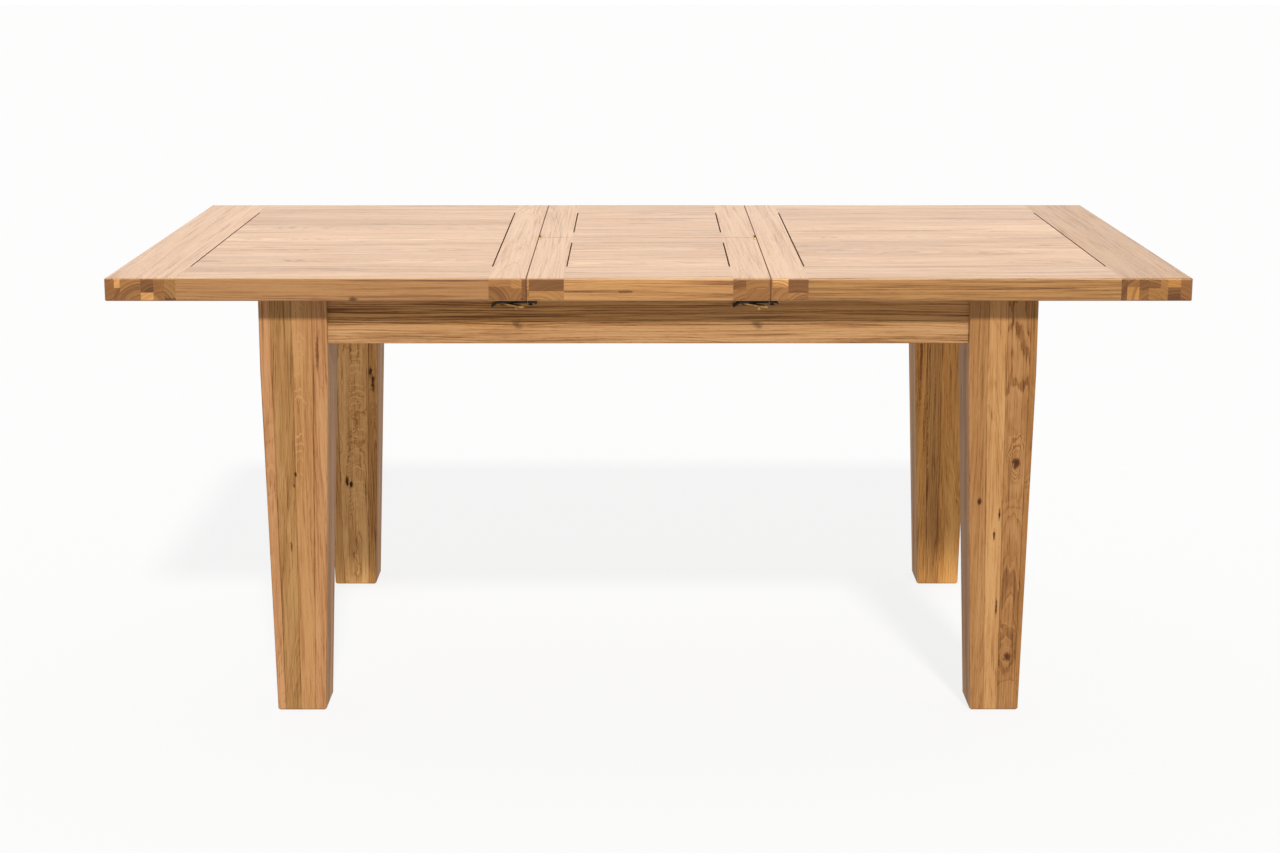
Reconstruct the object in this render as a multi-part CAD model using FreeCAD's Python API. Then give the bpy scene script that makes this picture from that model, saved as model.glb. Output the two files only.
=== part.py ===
import FreeCAD, Part
import math
import os

# Oak butterfly extension table, drawn out with its folding leaf laid flat in the middle.
# Millimetres. Origin on the floor under the table's centre, +X along the length, front edge at -Y, +Z up.

# Table top
table_height = 775.0
top_depth = 900.0
top_thickness = 39.0
end_top_length = 697.5
leaf_length = 404.0
seam_gap = 0.5
edge_radius = 4.0
seam_radius = 1.0

# Frames and panels of the end tops and of the leaf
outer_stile = 118.0
inner_stile = 62.0
long_rail = 118.0
fold_rail = 64.0
panel_thickness = 24.0
expansion_gap = 2.5
tongue_thickness = 10.0
tongue_length = 8.0
tongue_cover = 10.0
groove_spare = 2.5
groove_stop = 14.0

# Fold between the two halves of the leaf, with link hinges let into its side edges
fold_gap = 0.6
fold_bevel = 2.0
hinge_pin_depth = 3.0
hinge_pin_radius = 1.5
hinge_pin_clearance = 0.05
hinge_link_radius = 2.6
hinge_link_thickness = 2.4
hinge_plate_thickness = 3.0
hinge_plate_length = 26.0
hinge_plate_height = 12.0
hinge_gap = 0.3

# Base frame
side_overhang = 45.0
closed_overhang = 42.5
leg_width = 115.0
leg_taper_out = 10.0
leg_taper_in = 21.0
leg_taper_start = 50.0
leg_arris = 2.5
foot_bevel = 2.5
apron_height = 82.0
apron_thickness = 22.0
apron_setback = 8.0
apron_arris = 2.0
slide_clearance = 0.8

# Foot glides
glide_radius = 16.0
glide_height = 3.0
glide_recess = 1.5

# Corner blocks and leg bolts
block_thickness = 26.0
block_height = 28.0
block_rise = 2.0
leg_corner_flat = 24.0
bolt_radius = 4.0
bolt_clearance = 0.1
bolt_depth = 55.0
bolt_tail = 14.0
nut_width = 13.0
nut_height = 6.5
flange_radius = 10.0
flange_thickness = 2.0

# Runners under the end tops, and the fixed guides that they slide on
runner_width = 28.0
runner_height = 36.0
runner_reach = 200.0
runner_end_gap = 40.0
runner_relief = 1.0
guide_clearance = 0.2
guide_width = 24.0
guide_height = 50.0
guide_tongue_depth = 8.0
guide_tongue_height = 8.0
guide_tongue_drop = 18.0
running_gap = 0.5
tongue_play = 0.3
buffer_radius = 8.0
buffer_length = 4.5
buffer_offset = 4.0

# Leaf pivots, the rails that carry them and the bearer that the folded leaf lies on
pivot_radius = 3.5
pivot_clearance = 0.05
pivot_drop = 4.5
pivot_block_height = 8.0
pivot_block_width = 44.0
pivot_block_length = 32.0
pivot_block_inset = 2.0
pivot_pin_seat = 14.0
pivot_pin_fit = 0.02
pivot_rail_thickness = 22.0
pivot_rail_side_gap = 4.0
stow_clearance = 0.5
pivot_rail_end_height = 24.0
pivot_rail_shoulder = 30.0
bearer_width = 50.0
bearer_thickness = 18.0
bearer_inset = 10.0

# Latches under the seams
latch_clearance = 1.5
latch_plate_width = 21.0
latch_plate_thickness = 2.0
latch_base_height = 6.7
latch_base_inset = 3.0
latch_plate_length = 50.0
latch_plate_edge = 0.8
latch_tab_length = 11.0
latch_tab_drop = 8.0
keeper_length = 13.5
keeper_tab_length = 2.0
keeper_tab_drop = 4.0
lever_pivot_back = 40.0
lever_reach = 45.0
lever_half_width = 5.5
lever_thickness = 2.5
lever_gap = 0.5
lever_open = 45.0
lever_slot_play = 0.6
lever_pin_radius = 2.5
lever_pin_clearance = 0.05
lever_head_radius = 5.0
lever_head_thickness = 1.5
lever_head_gap = 0.3
stud_radius = 2.0
stud_head_radius = 4.0
knob_radius = 3.2
knob_height = 5.5
knob_reach = 31.0

# Places worked out from the sizes above
top_z = table_height
under_z = table_height - top_thickness
frame_z = under_z - slide_clearance
half_depth = top_depth / 2
half_leaf = leaf_length / 2
seam_x = half_leaf + seam_gap
end_x = seam_x + end_top_length
tongue_top_z = top_z - tongue_cover
tongue_bottom_z = tongue_top_z - tongue_thickness
groove_depth = tongue_length + groove_spare
base_length = 2 * (end_top_length - closed_overhang)
base_depth = top_depth - 2 * side_overhang
apron_bottom_z = under_z - apron_height
apron_face_y = base_depth / 2 - apron_setback
apron_inner_y = apron_face_y - apron_thickness
apron_face_x = base_length / 2 - apron_setback
apron_inner_x = apron_face_x - apron_thickness
leg_inner_x = base_length / 2 - leg_width
leg_inner_y = base_depth / 2 - leg_width
leg_foot_z = glide_height - glide_recess
outer_track_y = apron_inner_y - running_gap - runner_width / 2
guide_y = outer_track_y - runner_width / 2 - running_gap - guide_width / 2
inner_track_y = guide_y - guide_width / 2 - running_gap - runner_width / 2
guide_top_z = frame_z - guide_clearance
guide_bottom_z = guide_top_z - guide_height
runner_outer_x = leg_inner_x - runner_end_gap
pivot_y = half_depth / 4
pivot_z = under_z - pivot_drop
pivot_rail_inner_x = half_leaf + pivot_rail_side_gap
pivot_rail_outer_x = pivot_rail_inner_x + pivot_rail_thickness
pivot_rail_bottom_z = under_z - 2 * (pivot_drop + top_thickness) - stow_clearance
track_inner_y = inner_track_y - runner_width / 2 - running_gap
hinge_pin_y = hinge_pin_depth + fold_gap / 2
hinge_pin_z = top_z - hinge_pin_depth
latch_y = apron_face_y + latch_clearance + latch_plate_width / 2
latch_seam_x = seam_x - seam_gap / 2
latch_z = under_z - latch_base_height
lever_top_z = latch_z - latch_plate_thickness - lever_gap
lever_bottom_z = lever_top_z - lever_thickness
head_top_z = lever_bottom_z - lever_head_gap

X_AXIS = FreeCAD.Vector(1, 0, 0)
Y_AXIS = FreeCAD.Vector(0, 1, 0)
Z_AXIS = FreeCAD.Vector(0, 0, 1)
SIDES = {"left": -1, "right": 1}
EDGES = {"front": -1, "rear": 1}


def box(xs, ys, zs):
    """A box between two x, two y and two z values, in any order."""
    lows = [min(pair) for pair in (xs, ys, zs)]
    sizes = [abs(pair[1] - pair[0]) for pair in (xs, ys, zs)]
    return Part.makeBox(*sizes, FreeCAD.Vector(*lows))


def mirrored(sign, near, far):
    """Two values on one side of the centre line."""
    return sign * near, sign * far


def rounded_wire(first, second, radii, place):
    """A rectangle with a radius at each corner, from the low corner round, drawn through place(a, b)."""
    (a0, a1), (b0, b1) = sorted(first), sorted(second)
    corners = [(a0, b0), (a1, b0), (a1, b1), (a0, b1)]
    ways = [(1, 0), (0, 1), (-1, 0), (0, -1)]
    arcs = []
    for i, (corner, radius) in enumerate(zip(corners, radii)):
        back, ahead = ways[i - 1], ways[i]
        enter = [corner[k] - back[k] * radius for k in range(2)]
        leave = [corner[k] + ahead[k] * radius for k in range(2)]
        centre = [enter[k] + ahead[k] * radius for k in range(2)]
        middle = [centre[k] + (corner[k] - centre[k]) * math.sqrt(0.5) for k in range(2)]
        arcs.append((place(*enter), place(*middle), place(*leave), radius))
    edges = []
    for i, (enter, middle, leave, radius) in enumerate(arcs):
        if radius:
            edges.append(Part.Arc(enter, middle, leave).toShape())
        edges.append(Part.LineSegment(leave, arcs[(i + 1) % 4][0]).toShape())
    return Part.Wire(edges)


def prism(wire, way):
    """The solid that a closed flat wire sweeps along a straight way."""
    return Part.Face(wire).extrude(way)


def profile_along_y(points, ys):
    """A flat outline of (x, z) points swept between two y values."""
    low, high = sorted(ys)
    corners = [FreeCAD.Vector(x, low, z) for x, z in points]
    return prism(Part.makePolygon(corners + corners[:1]), Y_AXIS * (high - low))


def profile_along_x(points, xs):
    """A flat outline of (y, z) points swept between two x values."""
    low, high = sorted(xs)
    corners = [FreeCAD.Vector(low, y, z) for y, z in points]
    return prism(Part.makePolygon(corners + corners[:1]), X_AXIS * (high - low))


def rod(radius, start, end):
    """A round bar between two points."""
    start, end = FreeCAD.Vector(*start), FreeCAD.Vector(*end)
    return Part.makeCylinder(radius, (end - start).Length, start, end - start)


def group(solids):
    return Part.makeCompound(list(solids))


def rounded_slab(xs, ys, end_radii, side_radii, corner_radii):
    """A top's outer form: radii at its low and high x ends, its low and high y sides, and in plan."""
    length, depth, height = abs(xs[1] - xs[0]), abs(ys[1] - ys[0]), top_thickness
    zs = under_z, top_z
    low_x, low_y = min(xs), min(ys)
    a, b = end_radii
    along = rounded_wire(xs, zs, (a, b, b, a), lambda x, z: FreeCAD.Vector(x, low_y, z))
    a, b = side_radii
    across = rounded_wire(ys, zs, (a, b, b, a), lambda y, z: FreeCAD.Vector(low_x, y, z))
    plan = rounded_wire(xs, ys, corner_radii, lambda x, y: FreeCAD.Vector(x, y, under_z))
    slab = prism(along, Y_AXIS * depth).common(prism(across, X_AXIS * length))
    return slab.common(prism(plan, Z_AXIS * height))


def framed_panel(names, slab, xs, ys):
    """Two stiles, two rails and a panel, tongued together, cut from one rounded slab.

    names gives the nodes of the low x stile, high x stile, low y rail, high y rail and panel.
    xs and ys each give the outer and inner edges of the frame from low to high.
    """
    x0, xa, xb, x1 = xs
    y0, ya, yb, y1 = ys
    whole = under_z, top_z
    tongue = tongue_bottom_z, tongue_top_z
    stile_run = y0 + groove_stop, y1 - groove_stop
    low_stile = box((x0, xa), (y0, y1), whole).cut(box((xa - groove_depth, xa), stile_run, tongue))
    high_stile = box((xb, x1), (y0, y1), whole).cut(box((xb, xb + groove_depth), stile_run, tongue))
    rails = []
    for outer, inner, side in ((y0, ya, 1), (y1, yb, -1)):
        tenon = outer + side * groove_stop, inner - side * groove_depth
        rail = box((xa, xb), (outer, inner), whole)
        rail = rail.fuse(box((xa - tongue_length, xb + tongue_length), tenon, tongue))
        rails.append(rail.cut(box((xa, xb), (inner - side * groove_depth, inner), tongue)))
    field = box((xa + expansion_gap, xb - expansion_gap), (ya, yb), (top_z - panel_thickness, top_z))
    lip = box((xa - tongue_length, xb + tongue_length), (ya - tongue_length, yb + tongue_length), tongue)
    pieces = [low_stile, high_stile, *rails, field.fuse(lip).removeSplitter()]
    return {name: piece.common(slab) for name, piece in zip(names, pieces)}


def end_top(side):
    """One end top: broad outer stile, narrow stile at the seam, front and rear rails, panel."""
    sign = SIDES[side]
    stiles = [f"{side}_outer_stile", f"{side}_inner_stile"]
    xs = [sign * x for x in (end_x, end_x - outer_stile, seam_x + inner_stile, seam_x)]
    if sign > 0:
        xs, stiles = xs[::-1], stiles[::-1]
    ys = [-half_depth, long_rail - half_depth, half_depth - long_rail, half_depth]
    ends = (edge_radius, seam_radius)[::-sign]
    plan = [edge_radius if (i in (0, 3)) == (sign < 0) else 0 for i in range(4)]
    slab = rounded_slab((xs[0], xs[3]), (ys[0], ys[3]), ends, (edge_radius, edge_radius), plan)
    names = stiles + [f"{side}_front_rail", f"{side}_rear_rail", f"{side}_panel"]
    return framed_panel(names, slab, xs, ys)


def hinge_recess(sign, edge):
    """The pocket for a hinge in the side edge of one leaf half, open at the top and at the fold."""
    depth = hinge_plate_thickness + hinge_link_thickness + 2 * hinge_gap
    ys = mirrored(edge, 0, fold_gap / 2 + hinge_plate_length)
    return box(mirrored(sign, half_leaf - depth, half_leaf), ys, (top_z - hinge_plate_height, top_z))


def fold_relief(edge):
    """The bevel along the top arris of one half, which lets the halves fold face to face."""
    near = edge * fold_gap / 2
    points = [(near, top_z - fold_bevel), (near, top_z), (near + edge * fold_bevel, top_z)]
    return profile_along_x(points, (-half_leaf, half_leaf))


def leaf_half(half):
    """One half of the folding leaf: two stiles, the outer edge rail, the fold rail and a panel."""
    edge = EDGES[half]
    fold = fold_gap / 2
    ys = sorted(edge * y for y in (half_depth, half_depth - long_rail, fold + fold_rail, fold))
    xs = [-half_leaf, inner_stile - half_leaf, half_leaf - inner_stile, half_leaf]
    sides = (edge_radius, 0)[::-edge]
    slab = rounded_slab((xs[0], xs[3]), (ys[0], ys[3]), (seam_radius, seam_radius), sides, (0, 0, 0, 0))
    slab = slab.cut(fold_relief(edge))
    for sign in SIDES.values():
        slab = slab.cut(hinge_recess(sign, edge))
    rails = [f"{half}_leaf_edge_rail", f"{half}_leaf_fold_rail"][::-edge]
    stiles = [f"{half}_leaf_left_stile", f"{half}_leaf_right_stile"]
    return framed_panel(stiles + rails + [f"{half}_leaf_panel"], slab, xs, ys)


def hinge_plates(edge):
    """Brass plates in the two side edges of one leaf half, bored for the link pins."""
    plates = []
    inner = half_leaf - hinge_plate_thickness - hinge_link_thickness - 2 * hinge_gap
    for sign in SIDES.values():
        xs = mirrored(sign, inner, inner + hinge_plate_thickness)
        near = fold_gap / 2
        low_z = top_z - hinge_plate_height
        points = [(near, low_z), (near, top_z - fold_bevel), (near + fold_bevel, top_z),
                  (near + hinge_plate_length, top_z), (near + hinge_plate_length, low_z)]
        plate = profile_along_x([(edge * y, z) for y, z in points], xs)
        bore = rod(hinge_pin_radius + hinge_pin_clearance,
                   (xs[0], edge * hinge_pin_y, hinge_pin_z), (xs[1], edge * hinge_pin_y, hinge_pin_z))
        plates.append(plate.cut(bore))
    return group(plates)


def hinge_links():
    """A short link with two riveted pins at each side edge of the leaf."""
    links = []
    outer = half_leaf - hinge_gap
    inner = outer - hinge_link_thickness
    pin_end = inner - hinge_gap - hinge_plate_thickness
    ys = -hinge_pin_y - hinge_link_radius, hinge_pin_y + hinge_link_radius
    zs = hinge_pin_z - hinge_link_radius, hinge_pin_z + hinge_link_radius
    for sign in SIDES.values():
        start = min(mirrored(sign, inner, outer))
        wire = stadium_wire(ys, zs, lambda y, z: FreeCAD.Vector(start, y, z))
        link = prism(wire, X_AXIS * hinge_link_thickness)
        for y in (-hinge_pin_y, hinge_pin_y):
            ends = (sign * inner, y, hinge_pin_z), (sign * pin_end, y, hinge_pin_z)
            link = link.fuse(rod(hinge_pin_radius, *ends))
        links.append(link)
    return group(links)


def stadium_wire(first, second, place):
    """A bar with full round ends, longer along its first direction."""
    (a0, a1), (b0, b1) = sorted(first), sorted(second)
    radius, middle = (b1 - b0) / 2, (b0 + b1) / 2
    near, far = a0 + radius, a1 - radius
    return Part.Wire([
        Part.LineSegment(place(near, b0), place(far, b0)).toShape(),
        Part.Arc(place(far, b0), place(a1, middle), place(far, b1)).toShape(),
        Part.LineSegment(place(far, b1), place(near, b1)).toShape(),
        Part.Arc(place(near, b1), place(a0, middle), place(near, b0)).toShape(),
    ])


def leg_section(sx, sy, z, inset):
    """A leg's rounded square at one height; below the taper's start the faces lean in."""
    start = apron_bottom_z - leg_taper_start
    share = max(0.0, (start - z) / (start - leg_foot_z))
    outer, inner = inset + leg_taper_out * share, inset + leg_taper_in * share
    xs = mirrored(sx, base_length / 2 - outer, leg_inner_x + inner)
    ys = mirrored(sy, base_depth / 2 - outer, leg_inner_y + inner)
    return rounded_wire(xs, ys, (leg_arris,) * 4, lambda x, y: FreeCAD.Vector(x, y, z))


def foot_centre(sx, sy):
    drift = (leg_taper_in - leg_taper_out) / 2
    return sx * (leg_inner_x + leg_width / 2 + drift), sy * (leg_inner_y + leg_width / 2 + drift)


def leg(sx, sy):
    """A square leg, straight at the frame and tapered on all four faces below it."""
    start = apron_bottom_z - leg_taper_start
    heights = [(leg_foot_z, foot_bevel), (leg_foot_z + foot_bevel, 0), (start, 0), (frame_z, 0)]
    body = Part.makeLoft([leg_section(sx, sy, z, inset) for z, inset in heights], True, True)
    flat = [(leg_inner_x, leg_inner_y), (leg_inner_x + leg_corner_flat, leg_inner_y),
            (leg_inner_x, leg_inner_y + leg_corner_flat)]
    corners = [FreeCAD.Vector(sx * x, sy * y, block_z()[0]) for x, y in flat]
    corner = prism(Part.makePolygon(corners + corners[:1]), Z_AXIS * (frame_z - block_z()[0]))
    hole = rod(bolt_radius + bolt_clearance, bolt_point(sx, sy, 0), bolt_point(sx, sy, bolt_depth))
    x, y = foot_centre(sx, sy)
    recess = rod(glide_radius, (x, y, leg_foot_z), (x, y, glide_height))
    return body.cut(corner).cut(hole).cut(recess)


def block_z():
    low = apron_bottom_z + block_rise
    return low, low + block_height


def bolt_point(sx, sy, depth):
    """A point on a leg bolt's line, measured into the leg from its corner flat."""
    along = depth * math.sqrt(0.5) + leg_corner_flat / 2
    return sx * (leg_inner_x + along), sy * (leg_inner_y + along), sum(block_z()) / 2


def corner_block(sx, sy):
    """A diagonal block, mitred between the two aprons and bearing on the leg's corner flat."""
    outer = leg_inner_x + leg_inner_y + leg_corner_flat
    inner = outer - block_thickness * math.sqrt(2)
    plan = [(outer - apron_inner_y, apron_inner_y), (apron_inner_x, outer - apron_inner_x),
            (apron_inner_x, inner - apron_inner_x), (inner - apron_inner_y, apron_inner_y)]
    corners = [FreeCAD.Vector(sx * x, sy * y, block_z()[0]) for x, y in plan]
    block = prism(Part.makePolygon(corners + corners[:1]), Z_AXIS * block_height)
    hole = rod(bolt_radius + bolt_clearance, bolt_point(sx, sy, -block_thickness), bolt_point(sx, sy, 0))
    return block.cut(hole)


def leg_bolt(sx, sy):
    tail = bolt_point(sx, sy, -block_thickness - flange_thickness - bolt_tail)
    return rod(bolt_radius, tail, bolt_point(sx, sy, bolt_depth))


def leg_nut(sx, sy):
    """A flanged nut drawn up against the inside of a corner block."""
    seat = FreeCAD.Vector(*bolt_point(sx, sy, -block_thickness))
    way = FreeCAD.Vector(-sx, -sy, 0).normalize()
    across = FreeCAD.Vector(-sy, sx, 0).normalize()
    corner = nut_width / math.sqrt(3)
    rim = []
    for k in range(6):
        turn = math.radians(60 * k)
        rim.append(seat + across * (corner * math.cos(turn)) + Z_AXIS * (corner * math.sin(turn)))
    nut = prism(Part.makePolygon(rim + rim[:1]), way * (flange_thickness + nut_height))
    nut = nut.fuse(Part.makeCylinder(flange_radius, flange_thickness, seat, way))
    bore = Part.makeCylinder(bolt_radius + bolt_clearance, flange_thickness + nut_height, seat, way)
    return nut.cut(bore)


def foot_glide(sx, sy):
    x, y = foot_centre(sx, sy)
    return rod(glide_radius, (x, y, 0), (x, y, glide_height))


def long_apron(edge):
    """A front or rear apron between the legs, with its lower face arris eased."""
    ys = mirrored(edge, apron_face_y, apron_inner_y)
    radii = (0, apron_arris, 0, 0) if edge > 0 else (apron_arris, 0, 0, 0)
    wire = rounded_wire(ys, (apron_bottom_z, frame_z), radii,
                        lambda y, z: FreeCAD.Vector(-leg_inner_x, y, z))
    return prism(wire, X_AXIS * (2 * leg_inner_x))


def end_apron(sign):
    """An end apron between the legs, with its lower face arris eased."""
    xs = mirrored(sign, apron_face_x, apron_inner_x)
    radii = (0, apron_arris, 0, 0) if sign > 0 else (apron_arris, 0, 0, 0)
    wire = rounded_wire(xs, (apron_bottom_z, frame_z), radii,
                        lambda x, z: FreeCAD.Vector(x, -leg_inner_y, z))
    return prism(wire, Y_AXIS * (2 * leg_inner_y))


def tongue_z(play):
    middle = guide_top_z - guide_tongue_drop
    reach = guide_tongue_height / 2 + play
    return middle - reach, middle + reach


def guide(edge):
    """A fixed guide between two legs, with a tongue on each side for the runners."""
    ys = mirrored(edge, guide_y - guide_width / 2, guide_y + guide_width / 2)
    tongues = mirrored(edge, guide_y - guide_width / 2 - guide_tongue_depth,
                       guide_y + guide_width / 2 + guide_tongue_depth)
    xs = -leg_inner_x, leg_inner_x
    bar = box(xs, ys, (guide_bottom_z, guide_top_z))
    return bar.fuse(box(xs, tongues, tongue_z(0))).removeSplitter()


def runner(side, edge_name):
    """A grooved runner under an end top, reaching in under the leaf.

    Each end top runs in the outer track on one edge and in the inner track on the other, so the tops
    are alike and pass each other.
    """
    sign, edge = SIDES[side], EDGES[edge_name]
    outer_track = sign == edge
    middle = outer_track_y if outer_track else inner_track_y
    ys = mirrored(edge, middle - runner_width / 2, middle + runner_width / 2)
    bottom = under_z - runner_height
    bar = box(mirrored(sign, seam_x, runner_outer_x), ys, (bottom, under_z))
    bar = bar.fuse(box((-sign * runner_reach, sign * seam_x), ys, (bottom, under_z - runner_relief)))
    face = middle - runner_width / 2 if outer_track else middle + runner_width / 2
    inward = 1 if outer_track else -1
    depth = guide_tongue_depth - running_gap + tongue_play
    slot_ys = mirrored(edge, face, face + inward * depth)
    slot = box((-sign * runner_reach, sign * runner_outer_x), slot_ys, tongue_z(tongue_play))
    return bar.cut(slot).removeSplitter()


def runner_packer(side):
    """The batten that fills the space between a top's inner runner and the underside of its panel."""
    sign = SIDES[side]
    ys = mirrored(-sign, inner_track_y - runner_width / 2, inner_track_y + runner_width / 2)
    xs = mirrored(sign, seam_x + inner_stile, runner_outer_x)
    return box(xs, ys, (under_z, top_z - panel_thickness))


def runner_buffers(side):
    """Rubber buttons on the outer ends of one top's runners, which stop against the legs."""
    sign = SIDES[side]
    buttons = []
    for edge in EDGES.values():
        y = edge * (outer_track_y + buffer_offset if sign == edge else inner_track_y - buffer_offset)
        z = under_z - runner_height / 2
        start = sign * runner_outer_x, y, z
        buttons.append(rod(buffer_radius, start, (sign * (runner_outer_x + buffer_length), y, z)))
    return group(buttons)


def pivot_rail(sign):
    """A cross rail beside the leaf well: low at its ends to pass under the runners, slotted for a pivot."""
    end_z = guide_bottom_z - pivot_rail_end_height
    flat = track_inner_y - pivot_rail_shoulder
    half = [(flat, pivot_rail_bottom_z), (track_inner_y, end_z), (apron_inner_y, end_z),
            (apron_inner_y, guide_bottom_z), (track_inner_y, guide_bottom_z), (track_inner_y, frame_z)]
    points = half + [(-y, z) for y, z in reversed(half)]
    xs = mirrored(sign, pivot_rail_inner_x, pivot_rail_outer_x)
    radius = pivot_radius + pivot_clearance
    slot = box(xs, (pivot_y - radius, pivot_y + radius), (pivot_z, frame_z))
    slot = slot.fuse(rod(radius, (xs[0], pivot_y, pivot_z), (xs[1], pivot_y, pivot_z)))
    return profile_along_x(points, xs).cut(slot)


def stow_bearer():
    """The batten under the pivot rails that the folded leaf lies on when it is put away."""
    far = half_depth / 2 - bearer_inset
    return box((-pivot_rail_outer_x, pivot_rail_outer_x), (-far, bearer_width - far),
               (pivot_rail_bottom_z - bearer_thickness, pivot_rail_bottom_z))


def leaf_pivots():
    """Steel pivot blocks under the rear half's stiles, each with a pin that turns in its rail's slot."""
    solids = []
    for sign in SIDES.values():
        outer = half_leaf - pivot_block_inset
        block = box(mirrored(sign, outer - pivot_block_length, outer),
                    (pivot_y - pivot_block_width / 2, pivot_y + pivot_block_width / 2),
                    (under_z - pivot_block_height, under_z))
        seat = sign * (outer - pivot_pin_seat), pivot_y, pivot_z
        bore = rod(pivot_radius + pivot_pin_fit, seat, (sign * outer, pivot_y, pivot_z))
        pin = rod(pivot_radius, seat, (sign * pivot_rail_outer_x, pivot_y, pivot_z))
        solids += [block.cut(bore), pin]
    return group(solids)


def latch_plate(sign, edge):
    """A latch's strip on its raised base, with a bent finger tab and the rivet that its lever turns on."""
    seam = sign * latch_seam_x
    start, bend = seam - latch_plate_edge, seam - latch_plate_length
    thin = latch_plate_thickness
    slope = math.hypot(latch_tab_length, latch_tab_drop)
    skew = thin * latch_tab_drop / slope, thin * latch_tab_length / slope
    tip = bend - latch_tab_length, latch_z - latch_tab_drop
    points = [(start, latch_z), (bend, latch_z), tip, (tip[0] + skew[0], tip[1] - skew[1]),
              (bend + skew[0], latch_z - thin), (start, latch_z - thin)]
    middle = edge * latch_y
    plate = profile_along_y(points, latch_ys(edge, 0)).fuse(latch_base(start, bend, edge))
    x = seam - lever_pivot_back
    plate = plate.fuse(rod(lever_pin_radius, (x, middle, latch_z - thin), (x, middle, head_top_z)))
    return plate.fuse(rod(lever_head_radius, (x, middle, head_top_z),
                          (x, middle, head_top_z - lever_head_thickness)))


def latch_ys(edge, inset):
    """The band of a latch's strip or base, clear of the apron's face behind it."""
    reach = latch_plate_width / 2 - inset
    return mirrored(edge, latch_y - reach, latch_y + reach)


def latch_base(start, end, edge):
    """The raised base that holds a latch's strip below the top, where a hand finds its lever."""
    return box((start, end), latch_ys(edge, latch_base_inset), (latch_z, under_z))


def latch_keeper(sign, edge):
    """The keeper across the seam from a latch plate, with the headed stud that the lever hooks."""
    seam = sign * latch_seam_x
    start, bend = seam + latch_plate_edge, seam + keeper_length
    thin = latch_plate_thickness
    tip = bend + keeper_tab_length, latch_z - keeper_tab_drop
    points = [(start, latch_z), (bend, latch_z), tip, (tip[0] - thin, tip[1]),
              (bend - thin / 2, latch_z - thin), (start, latch_z - thin)]
    keeper = profile_along_y(points, latch_ys(edge, 0)).fuse(latch_base(start, bend, edge))
    x, y = seam + lever_reach - lever_pivot_back, edge * latch_y
    keeper = keeper.fuse(rod(stud_radius, (x, y, latch_z - thin), (x, y, head_top_z)))
    return keeper.fuse(rod(stud_head_radius, (x, y, head_top_z), (x, y, head_top_z - lever_head_thickness)))


def latch_lever(sign, edge):
    """A brass lever with a hook slot and a finger knob, swung open towards the table's edge."""
    x, y = sign * latch_seam_x - lever_pivot_back, edge * latch_y
    reach = lever_reach + lever_half_width
    wire = stadium_wire((x - lever_half_width, x + reach), (y - lever_half_width, y + lever_half_width),
                        lambda a, b: FreeCAD.Vector(a, b, lever_bottom_z))
    lever = prism(wire, Z_AXIS * lever_thickness)
    slot_radius = stud_radius + lever_slot_play
    slot_x = x + lever_reach
    zs = lever_bottom_z, lever_top_z
    lever = lever.cut(rod(slot_radius, (slot_x, y, zs[0]), (slot_x, y, zs[1])))
    slot_ys = y, y - edge * 2 * lever_half_width
    lever = lever.cut(box((slot_x - slot_radius, slot_x + slot_radius), slot_ys, zs))
    bore = lever_pin_radius + lever_pin_clearance
    lever = lever.cut(rod(bore, (x, y, zs[0]), (x, y, zs[1])))
    knob_x = x + knob_reach
    knob = rod(knob_radius, (knob_x, y, lever_bottom_z), (knob_x, y, lever_bottom_z - knob_height))
    lever = lever.fuse(knob)
    lever.rotate(FreeCAD.Vector(x, y, 0), Z_AXIS, edge * lever_open)
    return lever


def table_parts():
    """Every node of the table, by name."""
    parts = {}
    legs = [(sx, sy) for sy in EDGES.values() for sx in SIDES.values()]
    for side in SIDES:
        parts.update(end_top(side))
    for half in EDGES:
        parts.update(leaf_half(half))
        parts[f"{half}_hinge_plates"] = hinge_plates(EDGES[half])
    parts["hinge_links"] = hinge_links()
    parts["leaf_pivots"] = leaf_pivots()
    for edge_name, edge in EDGES.items():
        for side, sign in SIDES.items():
            parts[f"{edge_name}_{side}_leg"] = leg(sign, edge)
            parts[f"{side}_{edge_name}_runner"] = runner(side, edge_name)
            parts[f"{edge_name}_{side}_lever"] = latch_lever(sign, edge)
        parts[f"{edge_name}_apron"] = long_apron(edge)
        parts[f"{edge_name}_guide"] = guide(edge)
        parts[f"{edge_name}_leaf_latch_plate"] = latch_plate(SIDES["right"], edge)
        parts[f"{edge_name}_leaf_keeper"] = latch_keeper(SIDES["left"], edge)
    for side, sign in SIDES.items():
        parts[f"{side}_apron"] = end_apron(sign)
        parts[f"{side}_pivot_rail"] = pivot_rail(sign)
        parts[f"{side}_buffers"] = runner_buffers(side)
        parts[f"{side}_packer"] = runner_packer(side)
    parts["left_latch_plates"] = group(latch_plate(SIDES["left"], edge) for edge in EDGES.values())
    parts["right_keepers"] = group(latch_keeper(SIDES["right"], edge) for edge in EDGES.values())
    parts["stow_bearer"] = stow_bearer()
    parts["corner_blocks"] = group(corner_block(*signs) for signs in legs)
    parts["leg_bolts"] = group(leg_bolt(*signs) for signs in legs)
    parts["leg_nuts"] = group(leg_nut(*signs) for signs in legs)
    parts["foot_glides"] = group(foot_glide(*signs) for signs in legs)
    return parts


os.makedirs("parts", exist_ok=True)
for name, shape in table_parts().items():
    shape.exportStep(f"parts/{name}.step")
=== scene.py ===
"""Oak butterfly extension table, drawn out: its finishes, its screws, the studio and the camera."""

from collections import namedtuple
from math import pi, radians

import bpy
from mathutils import Matrix, Vector


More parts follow.
